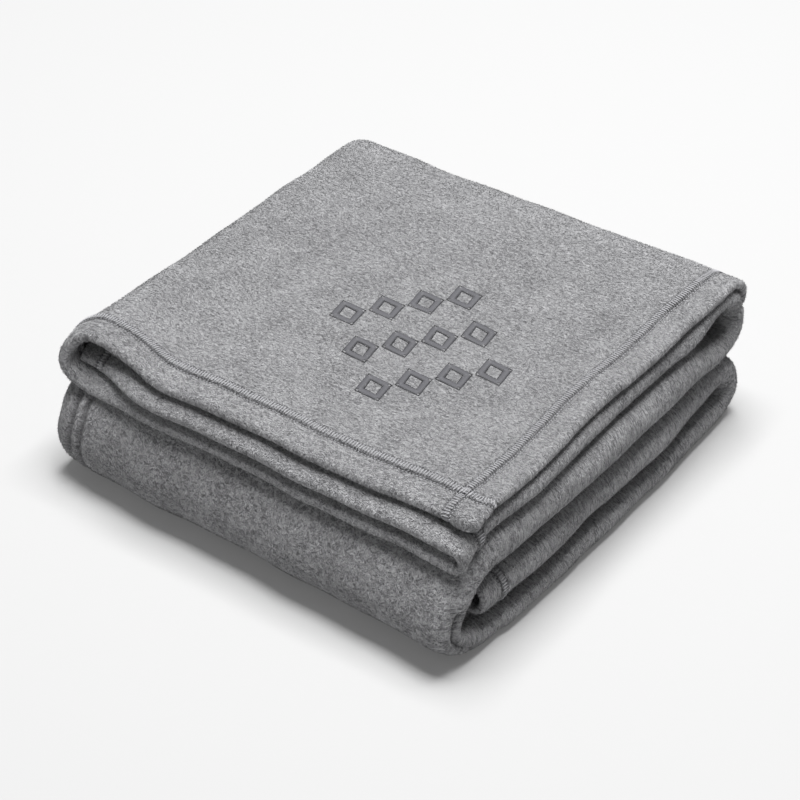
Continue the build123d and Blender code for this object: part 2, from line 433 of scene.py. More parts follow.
roll_third = np.linspace(0, 1 / 3, 18)[1:]
roll_shares = np.concatenate([roll_third, band, np.linspace(2 / 3, 1, 26)[1:]])
for share in roll_shares:
    def on_roll(depth, x):
        reach = roll_reach(depth, x)
        out, z = half_turn(
            share, depth, x, 0.0, reach, SECOND, BOTTOM, FRONT_PARTING, ROLL_POWERS)
        return ROLL_CENTRE_Y - out - belly(x, z) * out / reach, z
    add_row(3 + share, ROLL_CENTRE_Y - 30, on_roll)

bottom_shares = np.linspace(0, 1, 34)[1:]
for share in bottom_shares:
    leg_row(BOTTOM, 4 + share, ROLL_CENTRE_Y + (TAIL_CENTRE_Y - ROLL_CENTRE_Y) * share)
cut_bottom = len(rows_x) - len(bottom_shares) // 2

for share in np.linspace(0, 1, 25)[1:]:
    def on_tail_fold(depth, x):
        inner = 9.0
        reach = inner + (TAIL_REACH - HALF_CLOTH + 6 * smooth(x, 0, 220) - inner) * depth
        return half_turn(share, depth, x, TAIL_CENTRE_Y, reach, BOTTOM, TAIL)
    add_row(5 + share, TAIL_CENTRE_Y, on_tail_fold)


def tail_end(x):
    return ROLL_CENTRE_Y - 6 - 1.25 * bulge(x)


for share in np.linspace(0, 1, 34)[1:]:
    def on_tail(depth, x):
        y = TAIL_CENTRE_Y + (tail_end(x) + HEM_ZONE - TAIL_CENTRE_Y) * share
        return y, leg_height(TAIL, depth, x, y)
    add_row(6 + 0.9 * share, TAIL_CENTRE_Y + (ROLL_CENTRE_Y - TAIL_CENTRE_Y) * share, on_tail)
for distance in hem_marks[-2::-1]:
    def on_tail_hem(depth, x):
        y = tail_end(x) + distance
        return y, leg_height(TAIL, depth, x, y)
    add_row(7 - 0.1 * distance / HEM_ZONE, ROLL_CENTRE_Y, on_tail_hem)

middle = np.stack([np.array(rows_x), np.array(rows_y), np.array(rows_z)], axis=-1)
stage = np.array(rows_stage)
along_count = len(middle)
print(along_count, "rows along the length")

# %% [markdown]
# Small warps move whole regions of space together, so layers that lie on each other stay so. The
# heights at which the legs part are left alone.

# %% Warp the sheet softly
def wave(x, y, length, phase):
    turn = 2 * math.pi / length
    return np.sin(turn * x + phase) * np.sin(turn * 0.83 * y + 1.7 * phase + 0.6)


x, y, z = middle[..., 0], middle[..., 1], middle[..., 2]
over_block = smooth(z, BACK_PARTING + 6, BLOCK_TOP)
waves = 0.9 * wave(x, y, 190, 0.4) + 0.5 * wave(x, y, 84, 2.1) + 0.25 * wave(x, y, 43, 0.9)
lift = over_block * waves
sideways = 1.1 * wave(z * 1.5 + 20, y, 150, 1.1) + 0.6 * wave(z * 2, y, 70, 0.3)
forward = 1.1 * np.sin(x * 2 * math.pi / 173 + 2.6) + 0.6 * np.sin(x * 2 * math.pi / 76 + 1.2)
near_front = smooth(-y, 130, 190) * (stage <= 1.0)[:, None]
tucked_back = 15 * smooth(-x, 130, 200) * (across_zone[None, :] >= 5)
round_corner = (10 * smooth(x, 207, 226) + tucked_back) * near_front
TAB_OUT = 2.2  # the corner tab stands out past the flap's edge
LIP_FOLD = 8.0
# Low on the roll's right end the fold collapses into two lips with a groove between them
on_low_roll = ((stage > 3) & (stage < 4)) * (1 - smooth(stage, 3.76, 3.95))
end_groove = np.exp(-((across_value - 0.42) / 0.12) ** 2) * (across_zone == 4)
end_groove = end_groove[None, :] * on_low_roll[:, None] * smooth(FRONT_PARTING - z, 1.5, 12)
from_flap_side = np.where(across_zone == 0, across_value, 99.0)[None, :]
from_front = np.concatenate([hem_marks, np.full(along_count - len(hem_marks), 99.0)])[:, None]
tab = (1 - smooth(from_flap_side, 18, 25)) * (1 - smooth(from_front, 18, 25))
warped_x = x + sideways + TAB_OUT * tab - LIP_FOLD * end_groove
warped_y = y + forward + round_corner - 2 * tab
middle = np.stack([warped_x, warped_y, z + lift], axis=-1)
print("the warps lift the top by up to", round(float(lift.max()), 1), "mm")

# %% [markdown]
# The cloth gets its thickness on both sides of this middle sheet. The hem is fuller, pinched in at
# its rows of stitches and rounded at its edge. The corner where two hems cross is thicker still.

# %% Thickness of the cloth
step_across = np.linalg.norm(np.diff(middle, axis=1), axis=2)
step_along = np.linalg.norm(np.diff(middle, axis=0), axis=2)
across_mm = np.concatenate([[0], np.cumsum(step_across.mean(axis=0))])
along_mm = np.concatenate([[0], np.cumsum(step_along.mean(axis=1))])
cloth_width, cloth_length = across_mm[-1], along_mm[-1]
print(f"the sheet measures {cloth_width:.0f} x {cloth_length:.0f} mm")

from_sides = np.where((across_zone == 0) | (across_zone == 6), across_value, 99.0)
from_ends = np.full(along_count, 99.0)
from_ends[: len(hem_marks)] = hem_marks
from_ends[-len(hem_marks):] = hem_marks[::-1]


PINCH_DEPTH = 2.4  # how far a row of stitches pulls each face in
TAB_PINCH = 1.2  # and how much further round the corner tab
ROW_SWELL = 0.6  # the cloth swells between the two rows
GATHER = 0.3  # small gathers along a hem
TAB_RISE = 2.4  # the corner tab is twice turned over
CREASE_DEPTH = 3.2  # the inner hem's rows, pressed through at the roll's left end
PRESSED_LINES = (-205.0, -192.5)
GROOVE_DEPTH = 2.6  # between the two lips at the roll's right end


def row_pinch(distance):
    """1 at a row of stitches, which pulls the pile down, and 0 away from it."""
    return sum(np.exp(-((distance - row) / 1.15) ** 2) for row in HEM_ROWS)


def edge_round(distance, half_hem):
    """0 at the very edge and 1 as soon as the cloth is full, so that the edge is a half circle."""
    return np.sqrt(np.clip(1 - np.clip(1 - distance / half_hem, 0, 1) ** 2, 0, 1))


loose = (stage <= 1.0)[:, None]
half_hem = np.where(loose, HALF_HEM, HALF_CLOTH + 0.1)
side_distance, end_distance = from_sides[None, :], from_ends[:, None]
nearest = np.minimum(side_distance, end_distance)
half = half_hem + (HALF_CLOTH - half_hem) * smooth(nearest, 30, 38)
pinched = np.clip(row_pinch(side_distance) + row_pinch(end_distance), 0, 1)
half = half - (PINCH_DEPTH + TAB_PINCH * tab) * pinched
half = half + ROW_SWELL * loose * np.exp(-((nearest - np.mean(HEM_ROWS)) / 2.5) ** 2)
gathered = GATHER * np.sin(along_mm[:, None] / 2.1 + across_mm[None, :] / 3.3)
half = half + gathered * loose * (1 - smooth(nearest, 20, 34)) * smooth(nearest, 2, 8)
half = half + TAB_RISE * tab * smooth(nearest, 1, 6)
half = half * edge_round(side_distance, half_hem) * edge_round(end_distance, half_hem)
on_roll_face = (smooth(stage, 3.05, 3.3) * (1 - smooth(stage, 3.75, 3.98)))[:, None]
under_zone = (across_zone[None, :] == 3) * on_roll_face
crease = sum(np.exp(-((x - line) / 3.0) ** 2) for line in PRESSED_LINES) * under_zone
half = half - CREASE_DEPTH * crease
half = half - GROOVE_DEPTH * end_groove
# Painted shade: this mask darkens the stitch rows, where the pile is held down, and the roll's
# creases and the groove at its right end, where only shade falls.
pressed_pile_and_groove_shade = np.maximum(pinched, 0.8 * np.maximum(crease, end_groove))

# %% [markdown]
# The middle sheet gets its real thickness: we step out from it along its normals, half the
# thickness each way, and so find the right side and the wrong side of the cloth.

# %% Give the sheet two faces
tangent_across = np.gradient(middle, axis=1)
tangent_along = np.gradient(middle, axis=0)
normal = np.cross(tangent_along, tangent_across)
normal /= np.maximum(np.linalg.norm(normal, axis=2, keepdims=True), 1e-9)
if normal[len(hem_marks) + 20, len(hem_marks) + 20, 2] < 0:
    normal = -normal
right_side = middle + half[..., None] * normal
wrong_side = middle - half[..., None] * normal
print("half thickness up to", round(float(half.max()), 1), "mm")

# %% [markdown]
# Standing pile only matters where somebody can see it, so we mark the outside of the block: the
# flap and its folds on top, the under layer round the roll, and every loose edge at the front.

# %% Mark the faces that show
zone_row = across_zone[None, :]
on_flap_side = (zone_row <= 2) | (zone_row == 4)
on_under_side = (zone_row >= 2) & (zone_row <= 4)
top_half = (stage <= 2.1)[:, None]
outer_face = np.where(top_half, on_flap_side, on_under_side).astype(float)
near_edge = (nearest < 16).astype(float)
outer_face = np.maximum(outer_face, near_edge)
hem_face = near_edge * (stage <= 2.0)[:, None]


FIBRE_ROOM = 4.8  # a fibre that leans straight up or down doesn't reach further than this


def clear_of_partings(face):
    """0 on faces that touch the floor or another leg, where standing fibres would be caught."""
    height = face[..., 2]
    on_back_fold = ((stage > 1.2) & (stage < 1.8))[:, None]
    on_roll = ((stage > 3.1) & (stage < 3.9))[:, None]
    off_back = (np.abs(height - BACK_PARTING) > FIBRE_ROOM) | on_back_fold
    off_front = (np.abs(height - FRONT_PARTING) > FIBRE_ROOM) | on_roll
    return off_back & off_front & (height > 3.0)


between_rows = smooth(nearest, HEM_ROWS[0] - 1, HEM_ROWS[0])
between_rows = between_rows * (1 - smooth(nearest, HEM_ROWS[1], HEM_ROWS[1] + 1))
not_sewn = (1 - 0.9 * pressed_pile_and_groove_shade) * (1 - 0.6 * between_rows)
outer_face = outer_face * clear_of_partings(right_side) * not_sewn
hem_face = hem_face * clear_of_partings(wrong_side) * not_sewn
print("pile stands on", round(100 * float(outer_face.mean())), "% of the right side")

# %% [markdown]
# The sheet is cut into four pieces, because its legs belong to three bodies that can move. Two
# neighbours share their cut row exactly, so that no gap shows. Each piece is a closed shell with
# its own flat map, in metres along the cloth.

# %% Turn a stretch of rows into a closed piece of cloth
def cloth_piece(name, first, last):
    """A mesh object of rows first to last, closed at its hems and capped at its cuts."""
    rows = last - first + 1
    count = rows * across_count
    top = np.arange(count).reshape(rows, across_count)
    under = top + count
    under[:, 0], under[:, -1] = top[:, 0], top[:, -1]
    hem_first, hem_last = first == 0, last == along_count - 1
    if hem_first:
        under[0] = top[0]
    if hem_last:
        under[-1] = top[-1]
    points = np.concatenate([
        right_side[first:last + 1].reshape(-1, 3), wrong_side[first:last + 1].reshape(-1, 3)]) * MM
    addresses = np.stack(np.meshgrid(across_mm, along_mm[first:last + 1]), axis=-1)
    addresses = np.concatenate([addresses.reshape(-1, 2) * MM] * 2)

    def quads(grid, turned):
        a, b, c, d = grid[:-1, :-1], grid[:-1, 1:], grid[1:, 1:], grid[1:, :-1]
        order = (a, d, c, b) if turned else (a, b, c, d)
        return np.stack(order, axis=-1).reshape(-1, 4)

    faces = [quads(top, False), quads(under, True)]
    rims = []
    for row, is_hem, turned in ((0, hem_first, True), (-1, hem_last, False)):
        if not is_hem:
            edge = np.stack([top[row], under[row]])
            faces.append(quads(edge, not turned))
            rims.append(edge)
    all_faces = np.concatenate(faces)
    used, packed = np.unique(all_faces, return_inverse=True)
    packed = packed.reshape(-1, 4)
    mesh = bpy.data.meshes.new(name)
    listed = [tuple(dict.fromkeys(face)) for face in packed.tolist()]
    listed = [face for face in listed if len(face) > 2]
    mesh.from_pydata(points[used].tolist(), [], listed)
    mesh.update()
    uv = mesh.uv_layers.new(name="cloth")
    corners = np.zeros(len(mesh.loops), np.int32)
    mesh.loops.foreach_get("vertex_index", corners)
    uv.data.foreach_set("uv", addresses[used][corners].astype(np.float32).ravel())
    mesh.polygons.foreach_set("use_smooth", [True] * len(mesh.polygons))
    place_on_cloth = mesh.attributes.new("cloth_address", "FLOAT_VECTOR", "POINT")
    flat_address = np.column_stack([addresses[used], np.zeros(len(used))])
    place_on_cloth.data.foreach_set("vector", flat_address.astype(np.float32).ravel())
    seen = np.concatenate([outer_face[first:last + 1].ravel(), hem_face[first:last + 1].ravel()])
    # This attribute darkens the stitch rows and paints shade into the creases and grooves.
    pressed_and_shade_attribute = mesh.attributes.new("pile_press_and_groove_shade", "FLOAT", "POINT")
    both = np.concatenate([pressed_pile_and_groove_shade[first:last + 1].ravel()] * 2)
    pressed_and_shade_attribute.data.foreach_set("value", both[used].astype(np.float32))
    density = mesh.attributes.new("pile_density", "FLOAT", "POINT")
    density.data.foreach_set("value", seen[used].astype(np.float32))
    if rims:
        sharp = set()
        place = {old: new for new, old in enumerate(used.tolist())}
        for edge in rims:
            for line in edge:
                for a, b in zip(line[:-1], line[1:]):
                    sharp.add(frozenset((place[int(a)], place[int(b)])))
        for e in mesh.edges:
            if frozenset(e.vertices) in sharp:
                e.use_edge_sharp = True
    item = bpy.data.objects.new(name, mesh)
    bpy.context.scene.collection.objects.link(item)
    # A closed shell whose normals point outward has a positive signed volume
    places = np.array([v.co for v in mesh.vertices])
    mesh.calc_loop_triangles()
    triangles = np.array([t.vertices for t in mesh.loop_triangles])
    a, b, c = (places[triangles[:, k]] for k in range(3))
    if (a * np.cross(b, c)).sum() < 0:
        mesh.flip_normals()
    print(name, len(triangles), "triangles")
    return item


SPANS = {
    "top_leg": (0, cut_top),
    "back_fold": (cut_top, cut_second),
    "front_roll": (cut_second, cut_bottom),
    "tail": (cut_bottom, along_count - 1),
}
cloths = {name: cloth_piece(name + "_cloth", *span) for name, span in SPANS.items()}


# %% [markdown]
# ## Colours and finishes
# Polyester pile scatters light softly: no shine, a faint pale rim where the fibres are seen from
# the side, and mottled patches where a hand has pushed the nap one way or the other.

# %% Helpers for node trees
def linear(code):
    """A hex colour in sRGB turned to the linear values that shaders use."""
    values = [int(code[i:i + 2], 16) / 255 for i in (1, 3, 5)]
    return tuple(v / 12.92 if v <= 0.04045 else ((v + 0.055) / 1.055) ** 2.4 for v in values) + (1,)


def node(tree, kind, inputs=None, **settings):
    """Adds a node, gives it its settings, and fills or links its inputs."""
    new = tree.nodes.new(kind)
    for name, value in settings.items():
        setattr(new, name, value)
    for name, value in (inputs or {}).items():
        socket = new.inputs[name]
        if isinstance(value, bpy.types.NodeSocket):
            tree.links.new(value, socket)
        else:
            socket.default_value = value
    return new


def new_material(name):
    material = bpy.data.materials.new(name)
    material.use_nodes = True
    material.node_tree.nodes.clear()
    return material, material.node_tree


# %% [markdown]
# The fleece is knitted, brushed until it is plush, then sheared. The tufts are two or three
# millimetres wide, and the nap changes shade over patches of a few centimetres.

# %% Brushed and sheared coral fleece
def fleece_material(name, dark, light, bump_strength, stray):
    material, tree = new_material(name)
    where = node(tree, "ShaderNodeAttribute", attribute_name="cloth_address").outputs["Vector"]
    pile_press_and_groove_shade = node(tree, "ShaderNodeAttribute", attribute_name="pile_press_and_groove_shade").outputs["Fac"]
    patches = node(tree, "ShaderNodeTexNoise", {
        "Vector": where, "Scale": 26.0, "Detail": 2.0, "Roughness": 0.5, "Distortion": 0.8})
    brushed = node(tree, "ShaderNodeVectorMath", {
        0: where, 1: (0.55, 1.0, 1.0)}, operation="MULTIPLY")
    tufts = node(tree, "ShaderNodeTexNoise", {
        "Vector": brushed.outputs[0], "Scale": 480.0, "Detail": 1.5, "Roughness": 0.5,
        "Distortion": 1.2})
    fibres = node(tree, "ShaderNodeTexNoise", {
        "Vector": where, "Scale": 1100.0, "Detail": 2.0, "Roughness": 0.6})
    speck = node(tree, "ShaderNodeTexWhiteNoise", {"Vector": where}, noise_dimensions="3D")
    fine = node(tree, "ShaderNodeMath", {0: fibres.outputs[0], 1: 0.45}, operation="MULTIPLY")
    grain = node(tree, "ShaderNodeMath", {
        0: tufts.outputs[0], 1: 0.6, 2: fine.outputs[0]}, operation="MULTIPLY_ADD")
    shade = node(tree, "ShaderNodeMath", {
        0: patches.outputs[0], 1: 0.14, 2: grain.outputs[0]}, operation="MULTIPLY_ADD")
    speckled = node(tree, "ShaderNodeMath", {
        0: speck.outputs["Value"], 1: stray, 2: shade.outputs[0]}, operation="MULTIPLY_ADD")
    tone = node(tree, "ShaderNodeMapRange", {
        "Value": speckled.outputs[0], "From Min": 0.46 + stray / 2, "From Max": 0.72 + stray / 2})
    colour = node(tree, "ShaderNodeMix", {
        "Factor": tone.outputs[0], "A": linear(dark), "B": linear(light)}, data_type="RGBA")
    # Painted shade: where the attribute is set, the colour is pulled towards near-black, for pile
    # held down by stitches and for shade in the grooves.
    depth = node(tree, "ShaderNodeMath", {0: pile_press_and_groove_shade, 1: 0.72}, operation="MULTIPLY")
    pressed_and_shaded_colour = node(tree, "ShaderNodeMix", {
        "Factor": depth.outputs[0], "A": colour.outputs[2], "B": linear("#3c3c3e")},
        data_type="RGBA")
    bump = node(tree, "ShaderNodeBump", {
        "Height": grain.outputs[0], "Strength": bump_strength, "Distance": 0.005})
    surface = node(tree, "ShaderNodeBsdfPrincipled", {
        "Base Color": pressed_and_shaded_colour.outputs[2], "Roughness": 0.95, "IOR": 1.5,
        "Specular IOR Level": 0.08, "Sheen Weight": 0.12, "Sheen Roughness": 0.6,
        "Normal": bump.outputs[0]})
    node(tree, "ShaderNodeOutputMaterial", {"Surface": surface.outputs[0]})
    return material


fleece = fleece_material("brushed_coral_fleece", "#6a6a6c", "#b8b8ba", 1.0, 0.0)
# The blades are paler, because their tips catch the light, and need no bump of their own
pile_fleece = fleece_material("standing_fleece_pile", "#707072", "#c4c4c6", 0.0, 0.04)
for item in cloths.values():
    item.data.materials.append(fleece)
print("materials:", fleece.name, pile_fleece.name)

# %% [markdown]
# Sewing thread is spun polyester in the cloth's own grey: matt, and a little paler than the groove
# it lies in. The motif's thread is smoother and has a soft gloss, because its strands lie side by
# side. The run along its edges is nearly black. It is painted shade for the shadow where the satin
# sinks into the pile, so it reads as a dark outline.

# %% Threads
def thread_material(name, colour, roughness):
    material, tree = new_material(name)
    surface = node(tree, "ShaderNodeBsdfPrincipled", {
        "Base Color": linear(colour), "Roughness": roughness, "IOR": 1.5,
        "Specular IOR Level": 0.4})
    node(tree, "ShaderNodeOutputMaterial", {"Surface": surface.outputs[0]})
    return material


sewing_thread = thread_material("spun_polyester_sewing_thread", "#a6a6a9", 0.75)
motif_thread = thread_material("trilobal_embroidery_thread", "#66666a", 0.5)
# Painted shade: a near-black thread that stands for the shadow along the lozenges' edges.
shade_outline_thread = thread_material("edge_run_thread_painting_shade", "#2c2c2e", 0.8)
print("threads:", sewing_thread.name, motif_thread.name, shade_outline_thread.name)

# %% [markdown]
# ## Stitches and pile from Geometry Nodes
# A stitch is one small shape repeated thousands of times, so a node tree lays it: every point of a
# guide mesh carries the way the thread runs and the way out of the cloth. The fibres of the pile
# use the same idea with one slim blade per fibre.

# %% The node tree that lays stitches
def new_tree(name, inputs):
    tree = bpy.data.node_groups.new(name, "GeometryNodeTree")
    for label, kind in inputs:
        tree.interface.new_socket(label, in_out="INPUT", socket_type=kind)
    tree.interface.new_socket("Geometry", in_out="OUTPUT", socket_type="NodeSocketGeometry")
    return tree, tree.nodes.new("NodeGroupInput")


def facing(tree, along, out):
    """A rotation that turns X along one vector and Z as near as it can to another."""
    first = node(tree, "FunctionNodeAlignRotationToVector", {"Vector": along}, axis="X")
    return node(tree, "FunctionNodeAlignRotationToVector", {
        "Rotation": first.outputs[0], "Vector": out}, axis="Z", pivot_axis="X").outputs[0]


def close_tree(tree, instances, material):
    real = node(tree, "GeometryNodeRealizeInstances", {"Geometry": instances})
    dressed = node(tree, "GeometryNodeSetMaterial", {
        "Geometry": real.outputs[0], "Material": material})
    node(tree, "NodeGroupOutput", {"Geometry": dressed.outputs[0]})


stitch_tree, given = new_tree("laid_stitches", (
    ("Geometry", "NodeSocketGeometry"), ("Length", "NodeSocketFloat"), ("Width", "NodeSocketFloat"),
    ("Height", "NodeSocketFloat"), ("Thread", "NodeSocketMaterial")))


def named(tree, name, kind):
    return node(tree, "GeometryNodeInputNamedAttribute", {"Name": name}, data_type=kind).outputs[0]


along = named(stitch_tree, "along", "FLOAT_VECTOR")
out = named(stitch_tree, "out", "FLOAT_VECTOR")
bead = node(stitch_tree, "GeometryNodeMeshUVSphere", {"Segments": 6, "Rings": 5, "Radius": 0.5})
smooth_bead = node(stitch_tree, "GeometryNodeSetShadeSmooth", {"Geometry": bead.outputs["Mesh"]})
stretch = named(stitch_tree, "stretch", "FLOAT")
bead_length = node(stitch_tree, "ShaderNodeMath", {
    0: given.outputs["Length"], 1: stretch}, operation="MULTIPLY")
size_of_bead = node(stitch_tree, "ShaderNodeCombineXYZ", {
    "X": bead_length.outputs[0], "Y": given.outputs["Width"], "Z": given.outputs["Height"]})
laid = node(stitch_tree, "GeometryNodeInstanceOnPoints", {
    "Points": given.outputs["Geometry"], "Instance": smooth_bead.outputs[0],
    "Rotation": facing(stitch_tree, along, out),
    "Scale": size_of_bead.outputs[0]})
close_tree(stitch_tree, laid.outputs[0], given.outputs["Thread"])

# %% [markdown]
# The pile is fibres that stand out of the knit and lean with the nap. Real fibres are too fine to
# model one by one, so a slim blade stands for a small tuft of them: coarser than life, on purpose.

# %% The node tree that grows the pile
pile_tree, given = new_tree("standing_pile", (
    ("Geometry", "NodeSocketGeometry"), ("Density", "NodeSocketFloat"),
    ("Length", "NodeSocketFloat"),
    ("Width", "NodeSocketFloat"), ("Lift", "NodeSocketFloat"), ("Pile", "NodeSocketMaterial"),
    ("Seed", "NodeSocketInt")))
shown = named(pile_tree, "pile_density", "FLOAT")
amount = node(pile_tree, "ShaderNodeMath", {
    0: given.outputs["Density"], 1: shown}, operation="MULTIPLY")
sown = node(pile_tree, "GeometryNodeDistributePointsOnFaces", {
    "Mesh": given.outputs["Geometry"], "Density": amount.outputs[0],
    "Seed": given.outputs["Seed"]})
sweep = node(pile_tree, "ShaderNodeTexNoise", {"Scale": 34.0, "Detail": 1.0})
swept = node(pile_tree, "ShaderNodeVectorMath", {
    0: sweep.outputs["Color"], 1: (1.9, 1.9, 1.9), 2: (-0.55, -1.65, -1.35)},
    operation="MULTIPLY_ADD")
stray = node(pile_tree, "FunctionNodeRandomValue", {
    "Min": (-0.7, -0.7, -0.7), "Max": (0.7, 0.7, 0.7)}, data_type="FLOAT_VECTOR")
lifted = node(pile_tree, "ShaderNodeVectorMath", {
    0: sown.outputs["Normal"], "Scale": given.outputs["Lift"]}, operation="SCALE")
lean = node(pile_tree, "ShaderNodeVectorMath", {
    0: swept.outputs[0], 1: stray.outputs[0]}, operation="ADD")
into = node(pile_tree, "ShaderNodeVectorMath", {
    0: lean.outputs[0], 1: sown.outputs["Normal"]}, operation="PROJECT")
flat_lean = node(pile_tree, "ShaderNodeVectorMath", {
    0: lean.outputs[0], 1: into.outputs[0]}, operation="SUBTRACT")
flat_unit = node(pile_tree, "ShaderNodeVectorMath", {
    0: flat_lean.outputs[0]}, operation="NORMALIZE")
heading = node(pile_tree, "ShaderNodeVectorMath", {
    0: flat_unit.outputs[0], 1: lifted.outputs[0]}, operation="ADD")
blade = node(pile_tree, "GeometryNodeMeshCircle", {"Vertices": 3, "Radius": 0.67}, fill_type="NGON")
growth = node(pile_tree, "FunctionNodeRandomValue", {
    "Min": 0.7, "Max": 1.3, "Seed": 5}, data_type="FLOAT")
blade_size = node(pile_tree, "ShaderNodeCombineXYZ", {
    "X": given.outputs["Length"], "Y": given.outputs["Width"], "Z": 1.0})
grown = node(pile_tree, "ShaderNodeVectorMath", {
    0: blade_size.outputs[0], "Scale": growth.outputs[1]}, operation="SCALE")
fur = node(pile_tree, "GeometryNodeInstanceOnPoints", {
    "Points": sown.outputs["Points"], "Instance": blade.outputs["Mesh"],
    "Rotation": facing(pile_tree, heading.outputs[0], sown.outputs["Normal"]),
    "Scale": grown.outputs[0]})
close_tree(pile_tree, fur.outputs[0], given.outputs["Pile"])


def settle(guide, tree, name, values):
    """Runs a tree on a guide object with the given inputs, and keeps the result as a plain mesh."""
    modifier = guide.modifiers.new("laying", "NODES")
    modifier.node_group = tree
    sockets = {item.name: item.identifier for item in tree.interface.items_tree
               if item.item_type == "SOCKET" and item.in_out == "INPUT"}
    for label, value in values.items():
        modifier[sockets[label]] = value
    bpy.context.view_layer.update()
    evaluated = guide.evaluated_get(bpy.context.evaluated_depsgraph_get())
    mesh = bpy.data.meshes.new_from_object(evaluated)
    mesh.name = name
    guide.modifiers.clear()
    item = bpy.data.objects.new(name, mesh)
    bpy.context.scene.collection.objects.link(item)
    mesh.calc_loop_triangles()
    print(name, len(mesh.loop_triangles), "triangles")
    return item


def guide_points(name, points, along, out, stretch):
    """A mesh of loose points that carry the thread's way, the way out and a share of its length."""
    mesh = bpy.data.meshes.new(name)
    mesh.from_pydata([tuple(point) for point in points], [], [])
    share = mesh.attributes.new("stretch", "FLOAT", "POINT")
    share.data.foreach_set("value", np.broadcast_to(np.float32(stretch), len(points)).copy())
    for label, values in (("along", along), ("out", out)):
        attribute = mesh.attributes.new(label, "FLOAT_VECTOR", "POINT")
        attribute.data.foreach_set("vector", np.asarray(values, np.float32).ravel())
    item = bpy.data.objects.new(name, mesh)
    bpy.context.scene.collection.objects.link(item)
    return item


# %% [markdown]
# A lockstitch shows on both faces of the hem. We walk along each row of stitches with an even step
# and drop one stitch at every step.

# %% Sew the hems
STITCH_PITCH = 3.4
STITCH_LENGTH = 2.5
THREAD_WIDTH = 1.1  # and as high as it is wide
THREAD_RISE = 0.6  # the stitch stands this far out of its groove
CROSS_PITCH = 2.7
CROSS_LENGTH = 8.0  # the looper thread goes from one row to the other
ROWS_MIDDLE = 27.5


def walk(line, outward, pitch):
    """Even steps along a polyline in millimetres, with the way forward and the way out."""
    lengths = np.linalg.norm(np.diff(line, axis=0), axis=1)
    travelled = np.concatenate([[0], np.cumsum(lengths)])
    steps = np.arange(pitch / 2, travelled[-1], pitch)
    points = np.stack([np.interp(steps, travelled, line[:, k]) for k in range(3)], axis=1)
    ahead = np.stack([np.interp(steps + 0.4, travelled, line[:, k]) for k in range(3)], axis=1)
    out = np.stack([np.interp(steps, travelled, outward[:, k]) for k in range(3)], axis=1)
    forward = ahead - points
    forward /= np.maximum(np.linalg.norm(forward, axis=1, keepdims=True), 1e-9)
    return points, forward, out



def hem_columns(distances):
    return [int(np.argmin(np.where(across_zone == zone, abs(across_value - distance), 99)))
            for zone in (0, 6) for distance in distances]


def hem_rows(distances):
    rows = [int(np.argmin(abs(from_ends[:len(hem_marks)] - distance))) for distance in distances]
    return rows + [along_count - 1 - row for row in rows]


side_columns, end_rows = hem_columns(HEM_ROWS), hem_rows(HEM_ROWS)
middle_columns, middle_rows = hem_columns((ROWS_MIDDLE,)), hem_rows((ROWS_MIDDLE,))


def sew(name, first, last):
    parts = []
    span = slice(first, last + 1)
    crossing = [walk(right_side[span, column], normal[span, column], CROSS_PITCH)
                for column in middle_columns]
    crossing += [walk(right_side[row], normal[row], CROSS_PITCH)
                 for row in middle_rows if first <= row <= last]
    for face, way in ((right_side, 1.0), (wrong_side, -1.0)):
        out = way * normal
        for column in side_columns:
            parts.append(walk(face[span, column], out[span, column], STITCH_PITCH))
        for row in end_rows:
            if first <= row <= last:
                parts.append(walk(face[row], out[row], STITCH_PITCH))
    points, forward, out = (np.concatenate(group) for group in zip(*parts))
    crossing = np.stack([np.concatenate(group) for group in zip(*crossing)])
    y, z = crossing[0, :, 1], crossing[0, :, 2]
    on_fold = (y > BACK_CENTRE_Y) | (y < ROLL_CENTRE_Y)
    clear = (abs(z - BACK_PARTING) > 2.5) & (abs(z - FRONT_PARTING) > 2.5) & (z > 2.5)
    cross_points, cross_forward, cross_out = crossing[:, on_fold | clear]
    longer = np.full(len(cross_points), CROSS_LENGTH / STITCH_LENGTH)
    stretch = np.concatenate([np.ones(len(points)), longer])
    points = np.concatenate([points + THREAD_RISE * out, cross_points + 0.4 * cross_out])
    forward = np.concatenate([forward, np.cross(cross_out, cross_forward)])
    out = np.concatenate([out, cross_out])
    guide = guide_points(name + "_guide", points * MM, forward, out, stretch)
    item = settle(guide, stitch_tree, name, {
        "Length": STITCH_LENGTH * MM, "Width": THREAD_WIDTH * MM, "Height": THREAD_WIDTH * MM,
        "Thread": sewing_thread})
    bpy.data.objects.remove(guide)
    return item


seams = {name: sew(name + "_stitching", *span) for name, span in SPANS.items()}

# %% [markdown]
# The embroidery is a plain grid of lozenges, in place of any wording. Each stroke is satin stitch:
# threads laid across the stroke, side by side, with a near-black run along its edges that paints the
# shade where the stroke sinks into the pile.

# %% Embroider the lozenges
MOTIF_CENTRE = (37.0, -28.0)
MOTIF_TURN = math.radians(48)
LOZENGE_SIZE = (31.6, 38.0)
LOZENGE_PITCH = (35.0, 56.0)
STROKE = 7.0
FLAP_COLUMN = 60  # a column well inside the flap: it tells where each row lies, front to back
flap_columns = np.where(across_zone <= 1)[0]
flap_rows = np.arange(len(hem_marks), cut_top)
flap_surface = right_side[np.ix_(flap_rows, flap_columns)]


def on_flap(points):
    """Puts flat points on the flap's surface by reading the height of its grid."""
    rows = np.interp(points[:, 1], flap_surface[:, FLAP_COLUMN, 1], np.arange(len(flap_rows)))
    result = []
    for (px, py), row in zip(points, rows):
        low = min(int(row), len(flap_rows) - 2)
        line = flap_surface[low] + (flap_surface[low + 1] - flap_surface[low]) * (row - low)
        result.append((px, py, np.interp(-px, -line[:, 0], line[:, 2])))
    return np.array(result)


